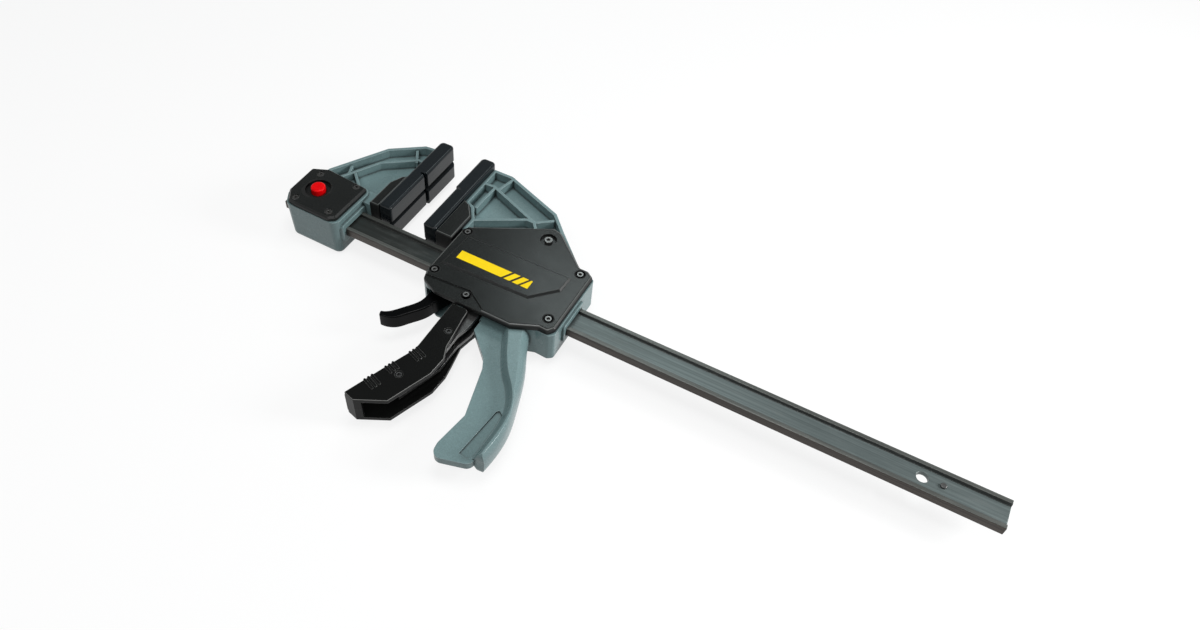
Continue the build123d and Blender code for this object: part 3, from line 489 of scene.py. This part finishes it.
# ---------------------------------------------------------------- finishes
def moulding(name, colour, wear_and_highlight, grain, depth, rough, gloss, edge=0.6 * MM, edge_share=0.5,
             mottle=0.12, soften=True, wells=0, open_from=0.75, round_heads=None,
             head_shade=4.2 * MM, highlight_band=None, side_shade=0):
    """Moulded plastic or rubber: spark-eroded grain, slight mottling, edges lightened by wear and
    painted highlight.

    The scale of the grain is per metre, its depth in metres. Wells narrower than about twice
    the size given in wells, and a ring round each of the fasteners of the node round_heads, get
    painted shade and are duller. The rounded rims get a painted highlight. The sides get painted
    shade against the upper faces, by the share given for them.
    """
    s = Shader(name)
    normal, edges = s.rounded(edge)
    cloud = s.remap(s.noise(scale=38, detail=4), *NOISE_SHARP)
    fine = s.noise(grain, detail=2, rough=0.6)
    grain_tips = s.remap(fine, 0.4, 0.75, to_low=0, to_high=0.5)
    body = s.blend(cloud, scaled(colour, 1 - mottle), colour)
    body = s.blend(grain_tips, body, scaled(colour, 1.6))
    # Lighter edges: wear and painted highlight.
    patches = s.remap(s.noise(scale=140, detail=3), *NOISE_MIDDLE, 0.6 * edge_share, edge_share)
    body = s.blend(s.maths("MULTIPLY", edges, patches), body, wear_and_highlight)
    # Painted highlight on rounded rims that look up by the given range.
    if highlight_band:
        highlight_share = 0.7
        body = s.blend(s.maths("MULTIPLY", s.highlight_band(*highlight_band), highlight_share), body, wear_and_highlight)
    # Painted shade in narrow wells, round the fastener heads and on the sides.
    if wells:
        painted_shade = s.shut_in(wells, open_from - 0.4, open_from)
        if round_heads:
            shade = s.rings(heads(round_heads), head_shade, soft=0.5 * MM)
            painted_shade = s.maths("MAXIMUM", painted_shade, shade)
        # Painted shade on the sides, darker than the upper faces.
        if side_shade:
            shaded_sides = s.remap(s.upward(), 0.5, 0.8, to_low=side_shade, to_high=0)
            painted_shade = s.maths("MAXIMUM", painted_shade, shaded_sides)
        body = s.blend(painted_shade, body, scaled(colour, 0.25))
    rough_spread, edge_polish, well_dullness = 0.02, 0.05, 0.35
    roughness = s.remap(s.noise(scale=90, detail=4), *NOISE_MIDDLE,
                        rough - rough_spread, rough + rough_spread)
    roughness = s.maths("ADD", roughness, s.maths("MULTIPLY", edges, -edge_polish))
    if wells:
        roughness = s.maths("ADD", roughness, s.maths("MULTIPLY", painted_shade, well_dullness))
    cell_scale, cell_share = 0.7 * grain, 0.6
    height = s.maths("ADD", fine, s.maths("MULTIPLY", s.cells(cell_scale), cell_share))
    grained = s.bump(height, depth, strength=0.5, normal=normal if soften else None)
    return s.done(body, roughness, grained, Specular_IOR_Level=gloss)


def coated_bar(name):
    """Dark coated steel, drawn lengthwise: light web with painted shade near the jaws, painted
    shade in the groove roots, brownish outer edges, edges lightened by wear and painted
    highlight.
    """
    s = Shader(name)
    normal, edges = s.rounded(0.5 * MM)
    x, y = s.plan()
    off = s.maths("ABSOLUTE", y)
    drawn = s.noise(scale=1, detail=4, rough=0.6, stretch=BAR_DRAWN)
    scuff = s.noise(scale=1, detail=5, rough=0.65, stretch=BAR_SCUFFED)
    web = s.blend(s.remap(drawn, *NOISE_MIDDLE), *BAR_WEB)
    flange = s.blend(s.remap(drawn, *NOISE_MIDDLE), *BAR_FLANGE)
    outer = s.blend(s.remap(drawn, *NOISE_SHARP), *BAR_OUTER)
    root = s.maths("MULTIPLY", s.past(off, *BAR_ROOT_START), s.before(off, *BAR_ROOT_END))
    # Painted shade on the web near the jaws, fading out along the bar.
    web = s.blend(s.remap(x, *BAR_SHADE_RANGE, BAR_SHADE_SHARE, 0), web, BAR_SHADE_NEAR_JAW)
    body = s.blend(s.past(off, *BAR_FLANGE_START), web, flange)
    # Painted shade in the groove roots.
    body = s.blend(s.maths("MULTIPLY", root, BAR_ROOT_SHADE_SHARE), body, BAR_ROOT_SHADE)
    body = s.blend(s.past(off, *BAR_OUTER_START), body, outer)
    scuffs = s.remap(scuff, 0.55, 0.8, to_low=0, to_high=0.3)
    body = s.blend(scuffs, body, BAR_SCUFF)
    # Edges lightened: wear and painted highlight.
    body = s.blend(s.maths("MULTIPLY", edges, BAR_WEAR_AND_HIGHLIGHT_SHARE), body, BAR_WEAR_AND_HIGHLIGHT)
    roughness = s.remap(scuff, 0.3, 0.75, to_low=0.30, to_high=0.44)
    streaked = s.bump(drawn, 0.03 * MM, strength=0.35, normal=normal)
    return s.done(body, roughness, streaked, Metallic=0.45)


def plain_steel(name, colour, rough, node=None, shade_from=0):
    """Zinc plated or oiled steel with fine turning marks; painted shade in the sockets, edges
    lightened by wear and painted highlight.

    Past the given radius the heads of the node get painted shade on their chamfers.
    """
    s = Shader(name)
    normal, edges = s.rounded(0.2 * MM)
    cloud = s.noise(scale=700, detail=4)
    edge_share, rough_spread = 0.6, 0.07
    body = s.blend(s.remap(cloud, *NOISE_MIDDLE), scaled(colour, 0.7), colour)
    # Edges lightened: wear and painted highlight.
    body = s.blend(s.maths("MULTIPLY", edges, edge_share), body, scaled(colour, 1.5))
    # Painted shade in the sockets.
    body = s.blend(s.shut_in(1.5 * MM), body, SOCKET_SHADE)
    # Painted shade on the heads past the given radius.
    if node:
        body = s.blend(s.rings(heads(node), shade_from, soft=0.15 * MM), HEAD_EDGE_SHADE, body)
    roughness = s.remap(s.noise(scale=2200, detail=2), *NOISE_MIDDLE,
                        rough - rough_spread, rough + rough_spread)
    turned = s.bump(cloud, 0.02 * MM, strength=0.4, normal=normal)
    return s.done(body, roughness, turned, Metallic=0.9)


def black_steel(name):
    """Blackened screw heads, lighter at the rims from rubbing and painted highlight."""
    s = Shader(name)
    normal, edges = s.rounded(0.2 * MM)
    cloud = s.noise(scale=900, detail=4)
    edge_share = 0.8
    body = s.blend(s.remap(cloud, *NOISE_MIDDLE), *BLACK_STEEL)
    # Rims lightened: rubbing and painted highlight.
    body = s.blend(s.maths("MULTIPLY", edges, edge_share), body, BLACK_STEEL_WEAR_AND_HIGHLIGHT)
    roughness = s.remap(s.noise(scale=2200, detail=2), *NOISE_MIDDLE, to_low=0.26, to_high=0.38)
    turned = s.bump(cloud, 0.02 * MM, strength=0.4, normal=normal)
    return s.done(body, roughness, turned, Metallic=0.2)


def label_print(name):
    """Yellow printed plate, darker along its edges, with slanted dark gaps towards one end."""
    s = Shader(name)
    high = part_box("label_plate")[1]
    normal, edges = s.rounded(0.25 * MM)
    x, y = s.plan()
    slant = s.maths("SUBTRACT", x, s.maths("MULTIPLY", y, STRIPE_SLANT))
    wave = s.maths("FRACT", s.maths("DIVIDE", slant, STRIPE_PITCH))
    gaps = s.before(wave, STRIPE_GAP, STRIPE_GAP_SOFT)
    start = s.past(slant, high.x - STRIPES_START, STRIPE_SOFT)
    end = s.before(slant, high.x - STRIPES_END, STRIPE_SOFT)
    stripes = s.maths("MULTIPLY", s.maths("MULTIPLY", gaps, start), end)
    rub = s.remap(s.noise(scale=420, detail=4, rough=0.6), 0.62, 0.8, to_low=0, to_high=0.25)
    yellow = s.blend(s.remap(s.noise(scale=120, detail=3), *NOISE_MIDDLE), *YELLOW)
    edge_share = 0.8
    body = s.blend(rub, yellow, YELLOW_RUBBED)
    body = s.blend(stripes, body, PRINT_GAP)
    body = s.blend(s.maths("MULTIPLY", edges, edge_share), body, YELLOW_EDGE)
    roughness = s.remap(s.noise(scale=300, detail=3), *NOISE_MIDDLE, to_low=0.42, to_high=0.52)
    printed = s.bump(s.noise(scale=2600, detail=2), 0.015 * MM, strength=0.4, normal=normal)
    return s.done(body, roughness, printed, Specular_IOR_Level=0.2)


def finishes():
    """One finish for each of the record's material slots, and a few nodes' own ones."""
    # The black mouldings get painted shade in wells and on their sides and a painted highlight on
    # rims that look up; the grey one gets painted shade in wells.
    black = dict(colour=BLACK, wear_and_highlight=BLACK_WEAR_AND_HIGHLIGHT, grain=1300, depth=0.03 * MM,
                 rough=0.24, gloss=0.34, edge=0.35 * MM, edge_share=0.35,
                 wells=2.5 * MM, highlight_band=(0.86, 0.95), side_shade=0.9)
    made = {
        "grey_moulding": moulding("grey_moulding", GREY, GREY_WEAR_AND_HIGHLIGHT, grain=1500, depth=0.018 * MM,
                                  rough=0.27, gloss=0.38, edge_share=0.7, mottle=0.06,
                                  wells=3 * MM, open_from=0.88),
        "black_moulding": moulding("black_moulding", **black),
        "gloss_black": moulding("gloss_black", GLOSS_BLACK, GLOSS_WEAR_AND_HIGHLIGHT, grain=2400,
                                depth=0.008 * MM, rough=0.19, gloss=0.16, edge=0.4 * MM,
                                edge_share=0.6, wells=2 * MM, highlight_band=(0.45, 0.9), side_shade=0.7),
        "pad_rubber": moulding("pad_rubber", RUBBER, RUBBER_WEAR_AND_HIGHLIGHT, grain=1800, depth=0.004 * MM,
                               rough=0.22, gloss=0.30, edge=0.3 * MM, edge_share=0.3,
                               soften=False),
        "red_plastic": moulding("red_plastic", RED, RED_WEAR_AND_HIGHLIGHT, grain=2600, depth=0.01 * MM,
                                rough=0.28, gloss=0.12, edge_share=0.2, mottle=0.06),
        "bar_steel": coated_bar("bar_steel"),
        "screw_steel": plain_steel("screw_steel", ZINC, rough=0.30),
        "screw_black": black_steel("screw_black"),
        "works_steel": plain_steel("works_steel", OILED_STEEL, rough=0.36),
        "yellow_plastic": label_print("yellow_plastic"),
    }
    own = {
        # The screw heads get painted shade past the given radius.
        "cover_screws": plain_steel("cover_screw_steel", ZINC, rough=0.30,
                                    node="cover_screws", shade_from=COVER_HEAD_SHADE_FROM),
        "trigger_screws": plain_steel("trigger_screw_steel", DULL_ZINC, rough=0.30,
                                      node="trigger_screws", shade_from=TRIGGER_HEAD_SHADE_FROM),
        # The covers get painted shade in a ring round the cover screws and round the release
        # button.
        "side_cover": moulding("side_cover_black", **black, round_heads="cover_screws"),
        "fixed_jaw_cover": moulding("fixed_cover_black", **black, round_heads="release_button",
                                    head_shade=BUTTON_SHADE),
        "release_lever": moulding("lever_black", LEVER_BLACK, LEVER_WEAR_AND_HIGHLIGHT, grain=2400,
                                  depth=0.012 * MM, rough=0.22, gloss=0.08, edge=0.25 * MM,
                                  edge_share=0.3),
    }
    for part in frame["record"]["subparts"]:
        obj = NODES[part["node"]]
        obj.data.materials.clear()
        obj.data.materials.append(own.get(part["node"], made[part["material_slot"]]))


# ---------------------------------------------------------------- springs
def coil(node, joint, axis, anchor, travel):
    """A copy of the spring on its body, in place of the hidden imported one; joint, axis, anchor
    and travel are not used.
    """
    spring = NODES[node]
    obj = placed(node + "_coil", spring.data.copy())
    obj.matrix_world = spring.matrix_world.copy()
    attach(obj, body_of(spring)[0])
    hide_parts(node)
    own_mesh(obj)


camera()
studio()
floor()
finishes()
for spring_node, settings in SPRINGS.items():
    coil(spring_node, *settings)

bpy.context.scene.view_settings.view_transform = "Standard"
